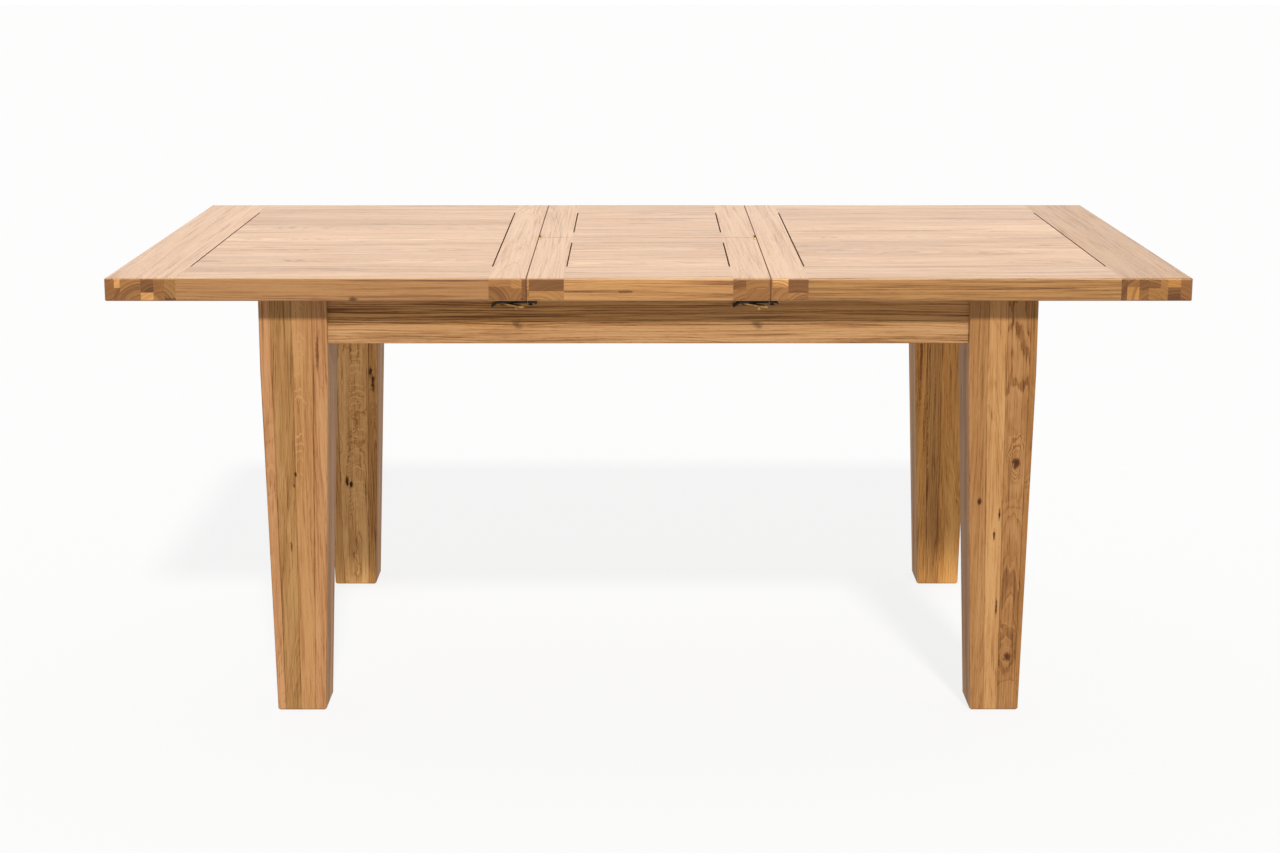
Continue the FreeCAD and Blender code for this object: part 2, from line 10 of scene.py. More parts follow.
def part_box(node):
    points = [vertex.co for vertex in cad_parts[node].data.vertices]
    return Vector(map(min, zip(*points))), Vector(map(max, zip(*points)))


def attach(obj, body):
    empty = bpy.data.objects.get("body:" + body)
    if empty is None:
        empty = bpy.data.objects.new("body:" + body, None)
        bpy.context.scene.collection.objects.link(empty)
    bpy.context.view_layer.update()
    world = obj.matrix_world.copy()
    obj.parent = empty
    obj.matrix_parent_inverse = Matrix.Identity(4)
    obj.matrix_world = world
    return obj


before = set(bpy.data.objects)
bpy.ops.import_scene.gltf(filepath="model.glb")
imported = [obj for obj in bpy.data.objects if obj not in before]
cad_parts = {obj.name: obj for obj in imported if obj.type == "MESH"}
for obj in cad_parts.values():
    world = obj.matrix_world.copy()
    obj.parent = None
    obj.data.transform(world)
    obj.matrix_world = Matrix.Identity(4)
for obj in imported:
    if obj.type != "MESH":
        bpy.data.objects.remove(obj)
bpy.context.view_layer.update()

# Places on the table, in metres, read from the CAD nodes
top_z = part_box("left_panel")[1].z
under_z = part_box("left_outer_stile")[0].z
leg_low, leg_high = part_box("front_right_leg")
apron_low_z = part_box("front_apron")[0].z
seam_x = (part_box("right_inner_stile")[0].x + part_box("front_leaf_right_stile")[1].x) / 2
latch_y = abs(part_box("front_leaf_keeper")[0].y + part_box("front_leaf_keeper")[1].y) / 2

# Legs: straight above the taper, then narrower to the foot on the outer and the inner faces
leg_width = leg_high.x - leg_low.x
taper_top_z = 0.604
taper_out = 0.010
taper_in = 0.021


def albedo(red, green, blue):
    """A colour given as 0 to 255, in the linear values that Blender's sockets take."""
    shares = [c / 255 for c in (red, green, blue)]
    return tuple(s / 12.92 if s <= 0.04045 else ((s + 0.055) / 1.055) ** 2.4 for s in shares) + (1.0,)


def grey(value):
    """A plain number as a colour that a ramp can carry."""
    return (value, value, value, 1.0)


class Finish:
    """One finish's material, with short calls that add shader nodes and join them."""

    def __init__(self, name):
        self.material = bpy.data.materials.new(name)
        self.material.use_nodes = True
        self.tree = self.material.node_tree
        self.shader = self.tree.nodes["Principled BSDF"]
        self.places = self.node("ShaderNodeTexCoord")

    def node(self, kind, feeds=None, **settings):
        """A new node with its settings, its inputs fed with plain values or other nodes' outputs."""
        made = self.tree.nodes.new(kind)
        for key, value in settings.items():
            setattr(made, key, value)
        for key, value in (feeds or {}).items():
            self.feed(made.inputs[key], value)
        return made

    def feed(self, socket, value):
        if isinstance(value, bpy.types.NodeSocket):
            self.tree.links.new(value, socket)
        else:
            socket.default_value = value

    def math(self, operation, *values):
        return self.node("ShaderNodeMath", dict(enumerate(values)), operation=operation).outputs[0]

    def add(self, *values):
        total = values[0]
        for value in values[1:]:
            total = self.math("ADD", total, value)
        return total

    def times(self, a, b):
        return self.math("MULTIPLY", a, b)

    def minus(self, a, b):
        return self.math("SUBTRACT", a, b)

    def around(self, share, amount):
        """A share from 0 to 1 as an amount that goes half either way of nothing."""
        return self.times(self.minus(share, 0.5), amount)

    def blend(self, share, first, second):
        """A number that goes from the first to the second as the share goes from 0 to 1."""
        return self.add(self.times(first, self.minus(1.0, share)), self.times(second, share))

    def step(self, value, low, high, start=0.0, end=1.0):
        """A soft step from start to end as the value goes from low to high."""
        made = self.node("ShaderNodeMapRange", {0: value, 1: low, 2: high, 3: start, 4: end})
        made.interpolation_type = "SMOOTHSTEP"
        return made.outputs[0]

    def line(self, value, place, core, reach, strength=1.0):
        """A soft line where the value is at a place: full within core of it, gone beyond reach."""
        return self.step(self.math("ABSOLUTE", self.minus(value, place)), core, reach, strength, 0.0)

    def vector(self, x, y, z):
        return self.node("ShaderNodeCombineXYZ", {0: x, 1: y, 2: z}).outputs[0]

    def split(self, vector):
        return self.node("ShaderNodeSeparateXYZ", {0: vector}).outputs[:]

    def noise(self, place, scale=1.0, detail=2.0, rough=0.5):
        feeds = {"Vector": place, "Scale": scale, "Detail": detail, "Roughness": rough}
        return self.node("ShaderNodeTexNoise", feeds).outputs["Fac"]

    def drawn_out(self, grain, lengthwise, crosswise, detail=2.0, rough=0.5):
        """Noise drawn out along the grain, with so many patches a metre lengthwise and crosswise."""
        along, across, through = grain
        place = self.vector(
            self.times(along, lengthwise),
            self.times(across, crosswise),
            self.times(through, crosswise),
        )
        return self.noise(place, detail=detail, rough=rough)

    def brushed(self, scales, detail):
        """Noise on the piece with its own scale along X, Y and Z."""
        feeds = {"Vector": self.places.outputs["Object"], "Scale": scales}
        return self.noise(self.node("ShaderNodeMapping", feeds).outputs[0], detail=detail)

    def draw(self, number):
        """Three random shares for a whole number."""
        made = self.node("ShaderNodeTexWhiteNoise", {"W": number}, noise_dimensions="1D")
        return self.split(made.outputs["Color"])

    def ramp(self, value, stops, interpolation="LINEAR"):
        made = self.node("ShaderNodeValToRGB", {0: value})
        made.color_ramp.interpolation = interpolation
        elements = made.color_ramp.elements
        while len(elements) < len(stops):
            elements.new(1.0)
        for element, (place, colour) in zip(elements, stops):
            element.position = place
            element.color = colour
        return made.outputs[0]

    def mix(self, share, first, second, blend="MIX"):
        feeds = {0: share, 6: first, 7: second}
        return self.node("ShaderNodeMix", feeds, data_type="RGBA", blend_type=blend).outputs[2]

    def reach(self, off, size):
        """How far an offset goes, counted in half sizes."""
        shares = self.node("ShaderNodeVectorMath", {0: off, 1: size}, operation="DIVIDE").outputs[0]
        return self.node("ShaderNodeVectorMath", {0: shares}, operation="LENGTH").outputs["Value"]

    def facing(self):
        """How squarely the surface faces along X, Y and Z, whichever way round."""
        return [self.math("ABSOLUTE", side) for side in self.split(self.places.outputs["Normal"])]

    def relief(self, height, strength, depth):
        made = self.node("ShaderNodeBump", {"Strength": strength, "Distance": depth, "Height": height})
        self.feed(self.shader.inputs["Normal"], made.outputs[0])

    def paint(self, colour, rough):
        self.feed(self.shader.inputs["Base Color"], colour)
        self.feed(self.shader.inputs["Roughness"], rough)
        return self.material


# Oak from the palest late wood to the dark pores: honey brown on edges and legs, and painted paler on
# the top's upward faces, as painted light and sheen from above
OAK_SHADES = (0.0, 0.38, 1.0)
HONEY_OAK = (albedo(166, 123, 78), albedo(148, 103, 59), albedo(95, 57, 27))
PAINTED_LIT_OAK = (albedo(202, 163, 125), albedo(180, 139, 102), albedo(126, 84, 48))
# Painted shade for the seams between the leaf and the end tops: dark brown laid on the faces beside them
SEAM_PAINTED_SHADE = albedo(92, 50, 24)
KNOT_BARK = albedo(44, 27, 15)

# One growth ring from its early wood outwards: how far through it, and how dark it is there
RING_SECTION = ((0.0, 1.0), (0.14, 0.80), (0.48, 0.18), (0.90, 0.03), (1.0, 1.0))

# How single boards, staves and end blocks differ from plain honey oak
BOARD_TINTS = {
    "honey": (1.00, 1.00, 1.00),
    "pink": (1.07, 1.06, 1.22),
    "olive": (0.88, 0.93, 0.88),
    "straw": (1.12, 1.16, 1.17),
    "ochre": (0.97, 0.97, 0.80),
    "gold": (1.28, 1.30, 1.14),
    # amber and blond lighten the rear legs: painted light in place of fill light under the table
    "amber_painted_fill": (1.48, 1.45, 1.12),
    "blond_painted_fill": (1.56, 1.70, 1.72),
    # Painted light: the paler, bluer strip where the key light falls on the aprons below the top's
    # shadow
    "painted_lit_strip": (1.12, 1.23, 1.46),
    "tan": (0.90, 0.88, 0.86),
    "brown": (0.78, 0.72, 0.60),
    "umber": (0.55, 0.48, 0.37),
    "cream": (1.75, 1.95, 2.30),
}

# Open end grain drinks the lacquer and turns browner
END_GRAIN = (0.94, 0.87, 0.65)


def board_tint(name, spread=1.0):
    """The tint of one board, kept nearer to plain honey as the spread gets smaller."""
    return tuple(1 + (c - 1) * spread for c in BOARD_TINTS[name]) + (1.0,)


def end_tint(name):
    """The tint of one block on a cut end."""
    return tuple(c * share for c, share in zip(BOARD_TINTS[name], END_GRAIN)) + (1.0,)


def along_grain(f, axis):
    """Object coordinates as places along, across and through the grain of a board along X or Y."""
    x, y, z = f.split(f.places.outputs["Object"])
    return {"x": (x, y, z), "y": (y, x, z)}[axis]


def boards_side_by_side(f, across, width, start, seed):
    """Boards of about one width, side by side.

    Gives a place's distance from the middle of its board, the board's random shares, and how far across
    the board the place is, from 0 to 1.
    """
    width_rhythm = 2.3
    width_change = 0.13
    counted = f.math("DIVIDE", f.minus(across, start), width)
    swayed = f.add(counted, f.times(f.math("SINE", f.times(counted, width_rhythm)), width_change))
    number = f.math("FLOOR", swayed)
    inside = f.minus(swayed, number)
    return f.around(inside, width), f.draw(f.add(number, float(seed))), inside


def growth_rings(f, grain, shares, ring, heart, slope, sway, swirl=0.0):
    """Dark early wood of cone-shaped growth rings round a heart that lies off the board.

    ring is how wide a ring is, heart how far the hearts of two boards lie apart, slope how fast the cone
    widens along the board, sway how far the rings waver, and swirl how far knots push them.
    """
    least_depth = 0.045
    more_depth = heart * 0.6
    least_slope = 0.25
    wander_reach = 0.035
    ring_fray = 0.28
    uneven_rate = 95
    uneven_rings = 2.4
    faintest = 0.25
    along, across, through = grain
    wander = f.drawn_out((along, shares[0], shares[1]), 1.7, 40, detail=1)
    off_across = f.add(across, f.around(shares[1], heart), f.around(wander, wander_reach))
    off_through = f.add(through, least_depth, f.times(shares[2], more_depth))
    radius = f.math("SQRT", f.add(f.times(off_across, off_across), f.times(off_through, off_through)))
    cone = f.times(f.times(along, slope), f.add(shares[0], least_slope))
    broad = f.drawn_out(grain, 4.0, 24)
    fine = f.drawn_out(grain, 30, 170, detail=1)
    bent = f.add(radius, cone, f.times(broad, sway), f.times(fine, ring * ring_fray), swirl)
    feeds = {"W": f.times(bent, uneven_rate), "Detail": 1.0}
    uneven = f.node("ShaderNodeTexNoise", feeds, noise_dimensions="1D").outputs[0]
    counted = f.add(f.math("DIVIDE", bent, ring), f.times(uneven, uneven_rings))
    number = f.math("FLOOR", counted)
    band = f.ramp(f.minus(counted, number), [(place, grey(dark)) for place, dark in RING_SECTION])
    return f.times(band, f.add(faintest, f.times(f.draw(number)[0], 1.0 - faintest)))


def pores(f, grain, early):
    """Open pores: short dark dashes, thickest in the early wood, and a few longer streaks."""
    late_share = 0.35
    dashes_show = 0.8
    streaks_show = 0.55
    dashes = f.step(f.drawn_out(grain, 48, 640, rough=0.6), 0.50, 0.66)
    streaks = f.step(f.drawn_out(grain, 6, 170), 0.52, 0.72)
    marks = f.times(dashes, f.add(late_share, f.times(early, 1.0 - late_share)))
    return f.add(f.times(marks, dashes_show), f.times(streaks, streaks_show))


def fine_lines(f, grain, closeness=300.0):
    """Thin darker lines along the grain, a few millimetres apart."""
    drift_reach = 0.012
    along, across, through = grain
    drift = f.times(f.drawn_out(grain, 2.2, 9, detail=1), drift_reach)
    drifted = (along, f.add(across, drift), f.add(through, drift))
    return f.step(f.drawn_out(drifted, 3.5, closeness, detail=3, rough=0.6), 0.46, 0.70)


def knots(f, places, axis):
    """Dark share of the listed knots and checks, and the push that leads the rings round them.

    Each is listed as its centre, its half sizes and how dark it is. The eye that the rings make round it
    is longest along the grain.
    """
    eye_length = 2.8
    eye_width = 1.3
    eye_falloff = -0.7
    eye_push = 0.9
    raggedness = 0.9
    dark = 0.0
    push = 0.0
    place = f.places.outputs["Object"]
    for centre, size, depth in places:
        off = f.node("ShaderNodeVectorMath", {0: place, 1: centre}, operation="SUBTRACT").outputs[0]
        ragged = f.add(f.reach(off, size), f.around(f.noise(place, 160), raggedness))
        dark = f.math("MAXIMUM", dark, f.step(ragged, 0.25, 1.0, start=depth, end=0.0))
        eye = [half * (eye_length if side == axis else eye_width) for side, half in zip("xyz", size)]
        far = f.add(f.reach(off, eye), f.around(f.noise(place, 55), raggedness))
        bulge = f.math("EXPONENT", f.times(f.times(far, far), eye_falloff))
        push = f.add(push, f.times(bulge, eye_push * min(size)))
    return dark, push


def oak_colour(f, shade, tint, painted_light=0.0):
    """Oak of one shade from 0 to 1 and one board's tint, painted paler by the given share of painted
    light, which stands in for light and sheen on the top's upward faces.
    """
    honey = f.ramp(shade, list(zip(OAK_SHADES, HONEY_OAK)))
    pale = f.ramp(shade, list(zip(OAK_SHADES, PAINTED_LIT_OAK)))
    return f.mix(1.0, f.mix(painted_light, honey, pale), tint, "MULTIPLY")


def lacquered(f, colour, early, open_pores, gloss, shine, coat=0.0):
    """Satin lacquer that has sunk a little into the pores; gloss is its roughness between them."""
    f.shader.inputs["IOR"].default_value = 1.5
    f.shader.inputs["Specular IOR Level"].default_value = shine
    f.shader.inputs["Coat Weight"].default_value = coat
    f.shader.inputs["Coat Roughness"].default_value = 0.30
    cloudy = f.noise(f.places.outputs["Object"], 7)
    rough = f.add(gloss, f.times(open_pores, 0.12), f.around(cloudy, 0.10))
    sunk = f.add(f.times(open_pores, 0.7), f.times(early, 0.3))
    f.relief(f.minus(1.0, sunk), strength=0.25, depth=0.0004)
    return f.paint(colour, rough)


def end_blocks(f, share, sunk_share, columns):
    """Tint and number of the glued blocks on a cut end.

    Each column is listed as its share of the width, how far down its upper block goes, and the tints of
    its upper and its lower block.
    """
    most_columns = 16.0
    lower_numbers = 40.0
    widths, depths, uppers, lowers = zip(*columns)
    lefts = [0.0]
    for width in widths[:-1]:
        lefts.append(lefts[-1] + width)

    def by_column(colours):
        return f.ramp(share, list(zip(lefts, colours)), "CONSTANT")

    upper_tint = by_column([end_tint(tint) for tint in uppers])
    lower_tint = by_column([end_tint(tint) for tint in lowers])
    column = f.times(by_column([grey(i / most_columns) for i in range(len(columns))]), most_columns)
    below = f.math("GREATER_THAN", sunk_share, by_column([grey(depth) for depth in depths]))
    return f.mix(below, upper_tint, lower_tint), f.add(column, f.times(below, lower_numbers))


def cut_end(f, along, across, sunk, seed, left, right, columns):
    """Growth rings and tint of the glued blocks on a cut end, from its left to its right edge."""
    heart_shift = 0.07
    share = f.math("DIVIDE", f.minus(across, left), right - left)
    tint, number = end_blocks(f, share, f.math("DIVIDE", sunk, under_z - top_z), columns)
    shares = f.draw(f.add(number, float(seed)))
    moved = f.add(f.minus(across, (left + right) / 2), f.around(shares[0], heart_shift))
    rings = growth_rings(f, (along, moved, sunk), shares, ring=0.0026, heart=0.06, slope=0.0, sway=0.003)
    return rings, tint


# How boards of the top are sawn: their width and where the first starts, the width of a growth ring, the
# slope of its cone and its sway, and how strongly rings, fine lines and slow changes of tone show
Sawn = namedtuple("Sawn", "width start ring slope sway rings_show lines_show tones_show")
PANEL_BOARDS = Sawn(
    width=0.098, start=-0.34, ring=0.0046, slope=0.05, sway=0.008,
    rings_show=0.52, lines_show=0.52, tones_show=0.65,
)
RAIL_BOARD = Sawn(
    width=2.0, start=-1.0, ring=0.0023, slope=0.009, sway=0.005,
    rings_show=0.75, lines_show=0.60, tones_show=0.60,
)
STILE_BOARD = Sawn(
    width=2.0, start=-1.0, ring=0.0030, slope=0.03, sway=0.006,
    rings_show=0.35, lines_show=0.30, tones_show=0.50,
)


def top_oak(name, axis, seed, sawn, tints, spread,
            flaws=(), ends=None, seams=(), joints=(), edge_tint=None):
    """Oak of the table top: boards along the grain, glued blocks on cut ends, painted paler on the upper
    face as light and sheen from above.

    Joints and seams are places across the grain: a joint is a thin dark line, and a seam has painted
    shade, with duller gloss, on the faces that show beside it. Ends are the left and right edge of a cut
    end and its blocks.
    """
    glue_line = 0.0012
    side_ring = sawn.ring * 1.25
    side_rings_show = 0.75
    painted_shade_dulls = 0.60
    f = Finish(name)
    grain = along_grain(f, axis)
    along, across, through = grain
    sunk = f.minus(through, top_z)
    facing = f.facing()
    on_side = f.step(facing["yx".index(axis)], 0.80, 0.95)
    place, shares, inside = boards_side_by_side(f, across, sawn.width, sawn.start, seed)
    dark, push = knots(f, flaws, axis)
    course = {"heart": 0.16, "slope": sawn.slope, "sway": sawn.sway, "swirl": push}
    face_rings = growth_rings(f, (along, place, sunk), shares, sawn.ring, **course)
    side_rings = growth_rings(f, (along, through, across), shares, side_ring, **course)
    early = f.blend(on_side, face_rings, f.times(side_rings, side_rings_show))
    open_pores = pores(f, grain, early)
    slow = f.drawn_out(grain, 1.6, 18, detail=3)
    board_edge = f.math("MINIMUM", inside, f.minus(1.0, inside))
    shade = f.add(
        0.04,
        f.times(early, sawn.rings_show),
        f.times(fine_lines(f, grain), sawn.lines_show),
        f.times(open_pores, 0.40),
        f.around(slow, sawn.tones_show),
        f.times(dark, 1.1),
        f.step(board_edge, 0.0, glue_line / sawn.width, start=0.35, end=0.0),
    )
    for joint in joints:
        shade = f.add(shade, f.line(across, joint, core=0.0006, reach=0.0022, strength=0.9))
    stops = [(i / len(tints), board_tint(tint, spread)) for i, tint in enumerate(tints)]
    tint = f.ramp(shares[0], stops, "CONSTANT")
    upward = f.step(f.split(f.places.outputs["Normal"])[2], 0.50, 0.85)
    if edge_tint:
        tint = f.mix(upward, board_tint(*edge_tint), tint)
    if ends:
        end_rings, block_tint = cut_end(f, along, across, sunk, seed, *ends)
        end_shade = f.add(0.20, f.times(end_rings, 1.25), f.around(slow, 0.4))
        on_end = f.step(facing["xy".index(axis)], 0.70, 0.85)
        shade = f.blend(on_end, shade, end_shade)
        tint = f.mix(on_end, tint, block_tint)
    # Upward faces take the paler oak: painted light and sheen from above
    colour = oak_colour(f, shade, tint, upward)
    gloss = 0.40
    # Painted shade beside each seam: the colour turns dark brown there and the gloss duller
    for seam in seams:
        near = f.line(across, seam, core=0.0003, reach=0.0012, strength=0.9)
        seam_painted_shade = f.times(near, f.minus(1.0, on_side))
        colour = f.mix(seam_painted_shade, colour, SEAM_PAINTED_SHADE)
        gloss = f.add(gloss, f.times(seam_painted_shade, painted_shade_dulls))
    return lacquered(f, colour, early, open_pores, gloss, shine=0.34, coat=0.10)


def apron_oak(name, axis, seed, ring, contrast):
    """Oak of the aprons: one nearly straight board each, with painted light along its lower edge: a
    paler, bluer strip with fainter rings where the key light falls below the top's shadow.
    """
    painted_lit_full_below = apron_low_z + 0.026
    painted_lit_none_above = apron_low_z + 0.046
    f = Finish(name)
    grain = along_grain(f, axis)
    along, across, through = grain
    shares = f.draw(float(seed))
    early = growth_rings(f, (along, through, across), shares, ring, heart=0.10, slope=0.010, sway=0.012)
    open_pores = pores(f, grain, early)
    slow = f.drawn_out(grain, 2.5, 30)
    wavy = f.add(through, f.around(slow, 0.030))
    # Painted light: paler, bluer and with fainter rings low on the apron, where the key light falls
    # below the top's shadow
    painted_lit_strip = f.step(wavy, painted_lit_full_below, painted_lit_none_above, start=1.0, end=0.0)
    rings_show = f.minus(1.05 * contrast, f.times(painted_lit_strip, 0.50 * contrast))
    lines_show = f.minus(1.0, f.times(painted_lit_strip, 0.45))
    shade = f.add(
        f.times(early, rings_show),
        f.times(fine_lines(f, grain, closeness=420.0), lines_show),
        f.times(open_pores, 0.45),
        f.around(slow, 0.7),
    )
    board_tone = f.ramp(slow, [(0.3, board_tint("honey")), (0.7, board_tint("gold"))])
    tint = f.mix(painted_lit_strip, board_tone, board_tint("painted_lit_strip"))
    return lacquered(f, oak_colour(f, shade, tint), early, open_pores, gloss=0.58, shine=0.14)


def stave_layout(f, place, staves):
    """Number of the stave at a place across the face, how near its edge is, its tint and its figure."""
    number = 0.0
    nearest = 1.0
    left = 0.0
    for share, _, _ in staves[:-1]:
        left += share
        number = f.add(f.math("GREATER_THAN", place, left), number)
        nearest = f.math("MINIMUM", f.math("ABSOLUTE", f.minus(place, left)), nearest)
    count = len(staves)
    which = f.math("DIVIDE", f.add(number, 0.5), count)
    tints = [(i / count, board_tint(tint)) for i, (_, tint, _) in enumerate(staves)]
    figures = [(i / count, grey(figure)) for i, (_, _, figure) in enumerate(staves)]
    return number, nearest, f.ramp(which, tints, "CONSTANT"), f.ramp(which, figures, "CONSTANT")


def ray_flecks(f, place, z, low, high, low_z, strength):
    """Pale bowed flecks of a quarter sawn stave, from low to high across the face, fewer near low_z."""
    fleck_pitch = 0.0135
    bow = 0.034
    bow_middle = 0.40
    wobble = 0.020
    shortest = 0.55
    longer = 0.50
    soft_end = 0.12
    fade_height = 0.18
    share = f.math("DIVIDE", f.minus(place, low), high - low)
    off = f.minus(share, bow_middle)
    waver = f.noise(f.vector(f.times(z, 55), f.times(share, 2.2), 0.0))
    height = f.add(z, f.times(f.times(off, off), bow), f.times(waver, wobble))
    counted = f.math("DIVIDE", height, fleck_pitch)
    number = f.math("FLOOR", counted)
    lined = f.line(f.minus(counted, number), 0.5, core=0.07, reach=0.17)
    chance = f.draw(number)
    kept = f.step(chance[0], 0.25, 0.55)
    length = f.add(shortest, f.times(chance[1], longer))
    begun = f.step(share, 0.0, soft_end)
    not_ended = f.step(f.minus(share, length), -soft_end, 0.0, start=1.0, end=0.0)
    upper = f.step(z, low_z, low_z + fade_height)
    within = f.times(f.times(begun, not_ended), upper)
    return f.times(f.times(f.times(lined, kept), within), strength)


def leg_oak(name, side_x, side_y, seed, front_staves, side_staves, flaws=(), flecked=None):
    """Oak of one leg: upright glued staves that narrow with the taper, other ones on each pair of faces.

    Each stave is listed, from the outer edge of the face, as its share of the width, its tint and how
    strongly its growth rings show.
    """
    side_seed = 11.0
    f = Finish(name)
    x, y, z = f.split(f.places.outputs["Object"])
    below_taper = f.math("DIVIDE", f.minus(taper_top_z, z), taper_top_z - leg_low.z)
    fall = f.math("MAXIMUM", below_taper, 0.0)
    width = f.minus(leg_width, f.times(fall, taper_out + taper_in))
    narrowed = f.times(fall, taper_out)
    out_x = f.times(x, side_x)
    out_y = f.times(y, side_y)
    face_place = f.math("DIVIDE", f.minus(f.minus(leg_high.x, narrowed), out_x), width)
    side_place = f.math("DIVIDE", f.minus(f.minus(-leg_low.y, narrowed), out_y), width)
    on_side = f.math("GREATER_THAN", f.facing()[0], 0.6)
    face_number, face_gap, face_tint, face_figure = stave_layout(f, face_place, front_staves)
    side_number, side_gap, side_tint, side_figure = stave_layout(f, side_place, side_staves)
    number = f.blend(on_side, face_number, f.add(side_number, side_seed))
    shares = f.draw(f.add(number, float(seed)))
    middle_x = f.minus(out_x, leg_high.x - leg_width / 2)
    middle_y = f.minus(out_y, -leg_low.y - leg_width / 2)
    grain = (z, f.blend(on_side, middle_x, middle_y), f.blend(on_side, middle_y, middle_x))
    dark, push = knots(f, flaws, "z")
    early = growth_rings(f, grain, shares, ring=0.0036, heart=0.20, slope=0.045, sway=0.009, swirl=push)
    open_pores = pores(f, grain, early)
    slow = f.drawn_out((z, x, y), 3.0, 40, detail=3)
    gap = f.blend(on_side, face_gap, side_gap)
    figure = f.blend(on_side, face_figure, side_figure)
    shade = f.add(
        0.05,
        f.times(early, f.times(figure, 0.70)),
        f.times(fine_lines(f, grain, closeness=400.0), 0.42),
        f.times(open_pores, 0.42),
        f.around(slow, 0.85),
        f.step(gap, 0.003, 0.012, start=0.40, end=0.0),
        f.times(dark, 1.2),
    )
    if flecked:
        flecks = ray_flecks(f, face_place, z, **flecked)
        shade = f.minus(shade, f.times(flecks, f.minus(1.0, on_side)))
    colour = oak_colour(f, shade, f.mix(on_side, face_tint, side_tint))
    colour = f.mix(f.step(dark, 0.45, 0.95), colour, KNOT_BARK)
    return lacquered(f, colour, early, open_pores, gloss=0.60, shine=0.14)


def planed_beech(name, axis, seed):
    """Beech of the runners, guides and rails: even, pinkish, with fine dark flecks."""
    boards_a_metre = 9.0
    f = Finish(name)
    grain = along_grain(f, axis)
    shares = f.draw(f.add(f.math("FLOOR", f.times(grain[1], boards_a_metre)), float(seed)))
    flecks = f.step(f.drawn_out(grain, 90, 900, detail=1), 0.60, 0.72)
    bands = f.drawn_out(grain, 2, 60, detail=3)
    shade = f.add(f.times(flecks, 0.45), f.times(bands, 0.6), f.times(shares[0], 0.12))
    colour = f.ramp(shade, [
        (0.1, albedo(205, 166, 124)),
        (0.5, albedo(187, 144, 102)),
        (1.0, albedo(150, 106, 68)),
    ])
    f.relief(f.minus(1.0, f.add(f.times(flecks, 0.4), f.times(bands, 0.3))), strength=0.15, depth=0.0003)
    return f.paint(colour, f.add(0.50, f.times(bands, 0.12)))


def aged_brass(name):
    """Brass of the levers and hinges: brushed and gone brown where no finger polishes it."""
    f = Finish(name)
    tarnish = f.noise(f.places.outputs["Object"], 130, detail=3, rough=0.6)
    brushed = f.brushed((300, 2600, 2600), detail=2)
    colour = f.ramp(tarnish, [
        (0.30, albedo(206, 172, 116)),
        (0.55, albedo(172, 136, 84)),
        (0.80, albedo(112, 84, 52)),
    ])
    f.shader.inputs["Metallic"].default_value = 1.0
    f.relief(brushed, strength=0.10, depth=0.0001)
    return f.paint(colour, f.add(0.34, f.times(tarnish, 0.20), f.times(brushed, 0.08)))


def bronzed_steel(name):
    """Dark bronzed plate of the latches: nearly black, with a little brown rubbed through."""
    f = Finish(name)
    place = f.places.outputs["Object"]
    cloud = f.noise(place, 90, detail=3, rough=0.6)
    grit = f.noise(place, 1500)
    colour = f.ramp(cloud, [
        (0.35, albedo(38, 34, 31)),
        (0.60, albedo(54, 46, 39)),
        (0.85, albedo(86, 66, 46)),
    ])
    f.shader.inputs["Metallic"].default_value = 0.7
    f.relief(grit, strength=0.12, depth=0.0001)
    return f.paint(colour, f.add(0.34, f.times(cloud, 0.22), f.times(grit, 0.05)))


def bright_zinc(name):
    """Zinc plate of the bolts, nuts and screws, with its faint crystal spangle."""
    f = Finish(name)
    place = f.places.outputs["Object"]
    crystals = f.node("ShaderNodeTexVoronoi", {"Vector": place, "Scale": 420.0}).outputs["Color"]
    spangle = f.split(crystals)[0]
    dull = f.noise(place, 70, detail=3)
    colour = f.ramp(f.add(f.times(spangle, 0.5), f.times(dull, 0.5)), [
        (0.2, albedo(176, 178, 181)),
        (0.5, albedo(196, 197, 198)),
        (0.8, albedo(212, 210, 203)),
    ])
    f.shader.inputs["Metallic"].default_value = 1.0
    f.relief(dull, strength=0.08, depth=0.0001)
    return f.paint(colour, f.add(0.26, f.times(spangle, 0.10), f.times(dull, 0.16)))


def stop_rubber(name):
    """Black rubber of the stop buttons, dusty and slightly pitted."""
    f = Finish(name)
    place = f.places.outputs["Object"]
    pits = f.noise(place, 1100)
    dust = f.noise(place, 60, detail=4, rough=0.65)
    colour = f.ramp(dust, [
        (0.35, albedo(30, 29, 28)),
        (0.70, albedo(48, 46, 44)),
        (0.90, albedo(78, 74, 69)),
    ])
    f.relief(pits, strength=0.25, depth=0.0002)
    return f.paint(colour, f.add(0.70, f.times(dust, 0.2)))


def moulded_nylon(name):
    """Brown nylon of the foot glides, with a fine moulded grain and floor scuffs."""
    f = Finish(name)
    moulded = f.noise(f.places.outputs["Object"], 1400)
    scuff = f.brushed((60, 420, 60), detail=3)
    colour = f.ramp(scuff, [
        (0.40, albedo(72, 58, 48)),
        (0.62, albedo(86, 70, 58)),
        (0.85, albedo(128, 112, 98)),
    ])
    f.relief(moulded, strength=0.2, depth=0.0002)
    return f.paint(colour, f.add(0.46, f.times(scuff, 0.2)))


def dress(finish, *nodes):
    """Puts a finish on CAD nodes."""
    for name in nodes:
        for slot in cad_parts[name].material_slots:
            slot.material = finish


